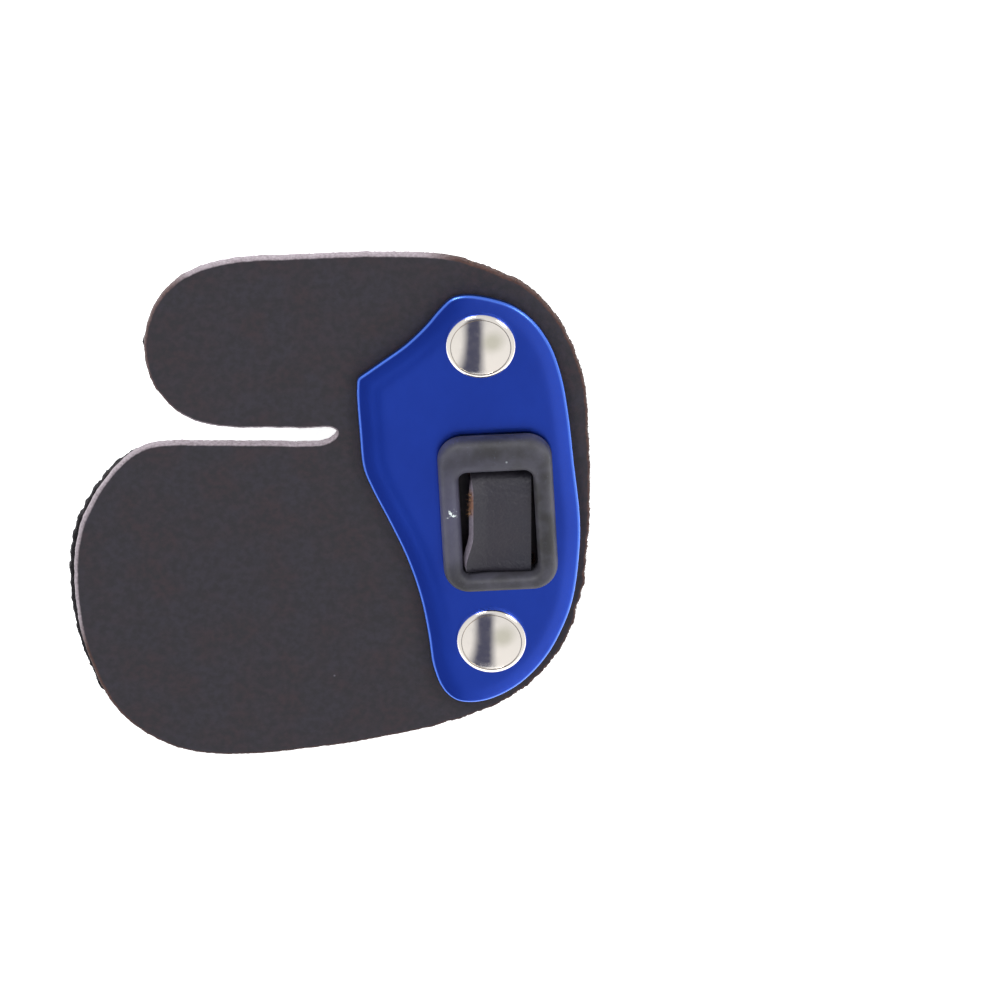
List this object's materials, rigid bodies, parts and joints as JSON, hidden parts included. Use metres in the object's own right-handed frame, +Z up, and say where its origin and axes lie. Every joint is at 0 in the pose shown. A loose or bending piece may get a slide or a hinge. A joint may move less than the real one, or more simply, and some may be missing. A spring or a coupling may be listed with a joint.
{
  "type": "archery finger tab",
  "caption": "Right-hand finger tab with leather face, suede backing, blue plate, rubber spacer and finger strap.",
  "frame": {"origin": "middle of the underside of the whole object's box, on the surface that it rests on", "axes": "+X towards the palm, -X towards the fingertips, +Y towards the index finger's side, +Z up, out of the string side"},
  "size_m": [0.0678, 0.0662, 0.0334],
  "materials": {
    "face_leather": "smooth dyed leather, charcoal",
    "suede": "black suede, napped",
    "plate_metal": "blue anodised, glossy",
    "rubber": "dark grey moulded rubber",
    "rivet_metal": "polished nickel plate",
    "strap_leather": "thin dyed leather"
  },
  "bodies": {
    "root": {"face_leather": "face_leather", "backing_upper": "suede", "backing_lower": "suede", "plate": "plate_metal", "finger_spacer": "rubber", "rivet_upper": "rivet_metal", "rivet_lower": "rivet_metal", "strap_rivet": "rivet_metal", "strap": "strap_leather"}
  },
  "joints": []
}
